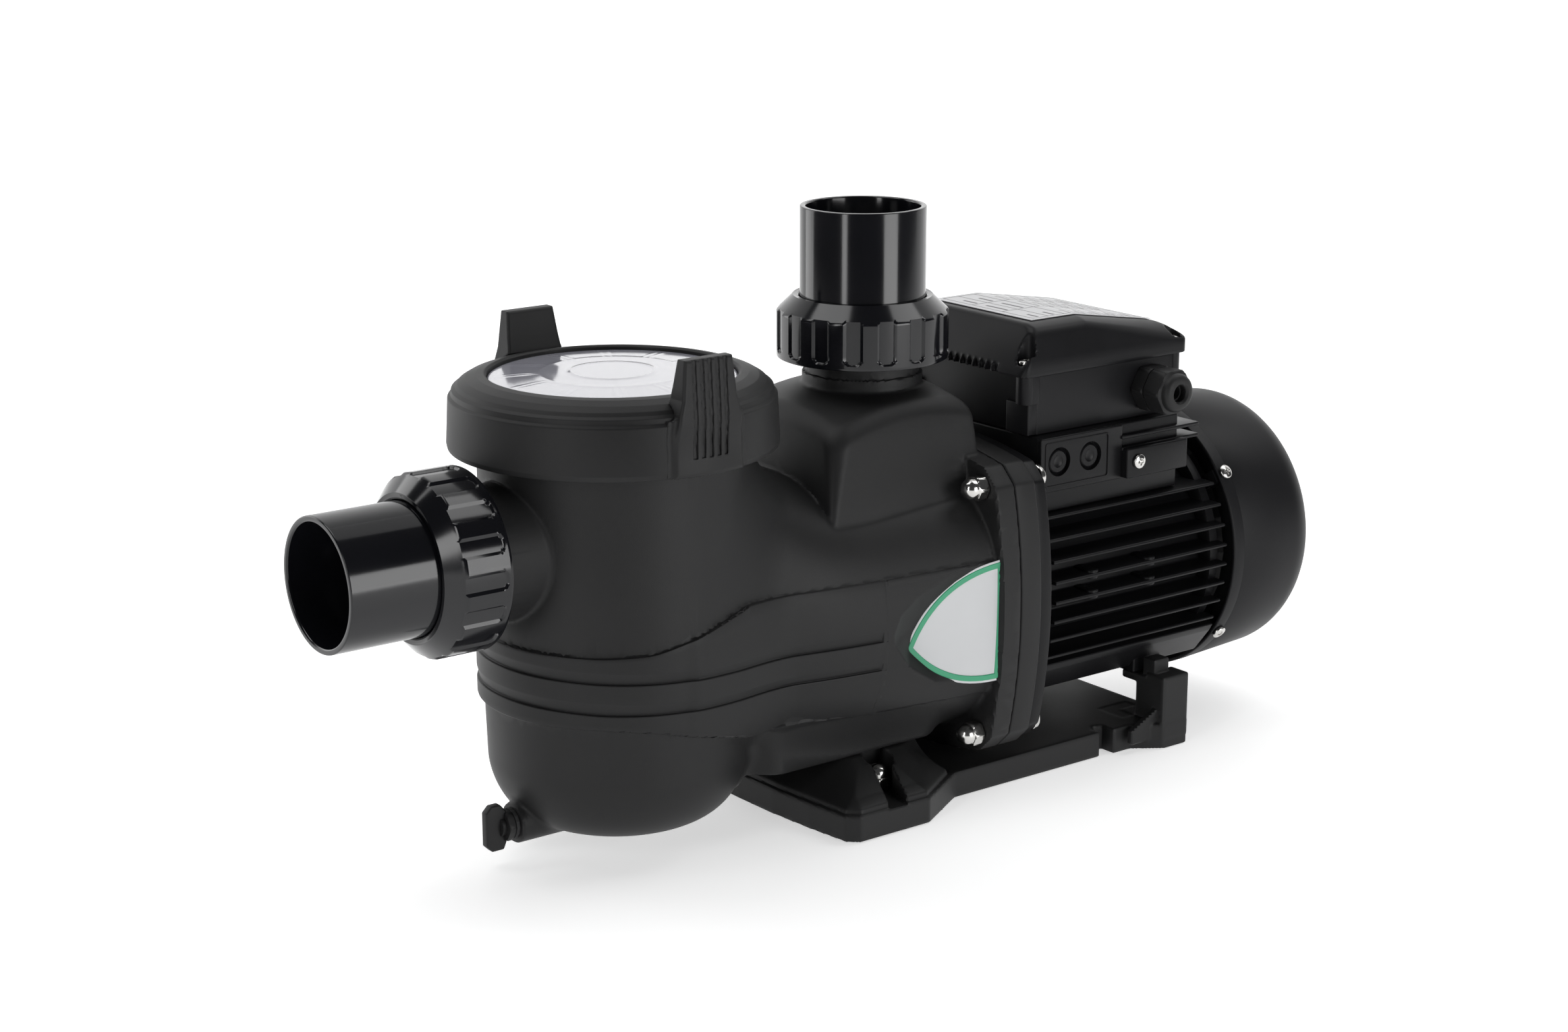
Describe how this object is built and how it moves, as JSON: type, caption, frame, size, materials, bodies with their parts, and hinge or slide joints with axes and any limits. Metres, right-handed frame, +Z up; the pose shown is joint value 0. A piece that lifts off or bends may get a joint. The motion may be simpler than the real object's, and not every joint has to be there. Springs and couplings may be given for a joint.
{
  "type": "pool pump",
  "caption": "Self-priming pool circulation pump with a clear-lidded strainer pot, union pipe connections, a finned motor and a footed base.",
  "frame": {"origin": "on the floor plane, on the base's underside, directly below the vertical discharge axis", "axes": "+X from the pump end towards the motor, along the shaft; +Z up, along the discharge axis; +Y away from the badge side"},
  "size_m": [0.6372, 0.1872, 0.3269],
  "materials": {
    "body_plastic": "fine-grained satin black moulding",
    "union_plastic": "polished black",
    "motor_paint": "black painted die casting",
    "cover_satin": "smooth satin black",
    "clear_lid": "clear moulded window",
    "stainless": "polished stainless steel",
    "seal_rubber": "matt black rubber",
    "badge_white": "printed plate, light grey field with a green border",
    "label_silver": "silver film",
    "basket_nylon": "plain moulding",
    "hydraulic_plastic": "filled plastic",
    "seal_ceramic": "ground face",
    "core_steel": "turned steel",
    "winding_copper": "varnished winding",
    "terminal_plastic": "plain moulding"
  },
  "bodies": {
    "pump": {"pump_body": "body_plastic", "base": "body_plastic", "seal_plate": "body_plastic", "gland_body": "body_plastic", "suction_tail": "union_plastic", "discharge_tail": "union_plastic", "motor_flange": "motor_paint", "motor_housing": "motor_paint", "rear_shield": "motor_paint", "fan_cover": "cover_satin", "terminal_box": "cover_satin", "terminal_lid": "cover_satin", "earth_screw": "stainless", "foot_bolt_front": "stainless", "foot_bolt_back": "stainless", "acorn_nut_front_lower": "stainless", "acorn_nut_front_upper": "stainless", "acorn_nut_back_lower": "stainless", "acorn_nut_back_upper": "stainless", "flange_bolt_front_lower": "stainless", "flange_bolt_front_upper": "stainless", "flange_bolt_back_lower": "stainless", "flange_bolt_back_upper": "stainless", "cover_screw_front_lower": "stainless", "cover_screw_front_upper": "stainless", "cover_screw_back_lower": "stainless", "cover_screw_back_upper": "stainless", "lid_screw_1": "stainless", "lid_screw_2": "stainless", "lid_screw_3": "stainless", "lid_screw_4": "stainless", "suction_oring": "seal_rubber", "discharge_oring": "seal_rubber", "wear_ring": "seal_rubber", "body_gasket": "seal_rubber", "gland_seal": "seal_rubber", "badge_plate": "badge_white", "rating_label": "label_silver", "diffuser": "hydraulic_plastic", "seal_seat": "seal_ceramic", "front_bearing": "core_steel", "rear_bearing": "core_steel", "stator": "winding_copper", "terminal_block": "terminal_plastic", "capacitor": "terminal_plastic"},
    "rotor": {"rotor_shaft": "core_steel", "rotor_core": "core_steel", "impeller": "hydraulic_plastic", "seal_rotating": "seal_ceramic", "fan": "hydraulic_plastic"},
    "lid": {"lid_window": "clear_lid", "lid_seal": "seal_rubber"},
    "ring": {"lid_ring": "body_plastic"},
    "basket": {"strainer_basket": "basket_nylon"},
    "bail": {"basket_handle": "basket_nylon"},
    "suction_union": {"suction_nut": "union_plastic"},
    "discharge_union": {"discharge_nut": "union_plastic"},
    "drain": {"drain_plug": "body_plastic", "drain_oring": "seal_rubber"},
    "gland": {"gland_nut": "body_plastic"}
  },
  "joints": [
    {"name": "shaft_spin", "type": "hinge", "parent": "pump", "child": "rotor", "pos_m": [0, 0, 0.106], "axis": [1, 0, 0], "continuous": true},
    {"name": "lid_lift", "type": "slide", "parent": "pump", "child": "lid", "axis": [0, 0, 1], "range_m": [0, 0.28]},
    {"name": "lid_ring_turn", "type": "hinge", "parent": "lid", "child": "ring", "pos_m": [-0.1669, 0, 0.235], "axis": [0, 0, 1], "range_deg": [0, 270]},
    {"name": "basket_lift", "type": "slide", "parent": "pump", "child": "basket", "axis": [0, 0, 1], "range_m": [0, 0.19]},
    {"name": "bail_fold", "type": "hinge", "parent": "basket", "child": "bail", "pos_m": [-0.1669, 0, 0.202], "axis": [0, 1, 0], "range_deg": [0, 180]},
    {"name": "suction_nut_turn", "type": "hinge", "parent": "pump", "child": "suction_union", "pos_m": [-0.2594, 0, 0.1699], "axis": [-1, 0, 0], "range_deg": [0, 900]},
    {"name": "discharge_nut_turn", "type": "hinge", "parent": "pump", "child": "discharge_union", "pos_m": [0, 0, 0.2431], "axis": [0, 0, 1], "range_deg": [0, 900]},
    {"name": "drain_plug_turn", "type": "hinge", "parent": "pump", "child": "drain", "pos_m": [-0.2349, 0, 0.0205], "axis": [-1, 0, 0], "range_deg": [0, 1440]},
    {"name": "gland_nut_turn", "type": "hinge", "parent": "pump", "child": "gland", "pos_m": [0.1665, -0.0573, 0.213], "axis": [0, -1, 0], "range_deg": [0, 1080]}
  ],
  "couplings": [
    {"joint": "basket_lift", "follows": "lid_lift", "ratio": 0.65}
  ]
}
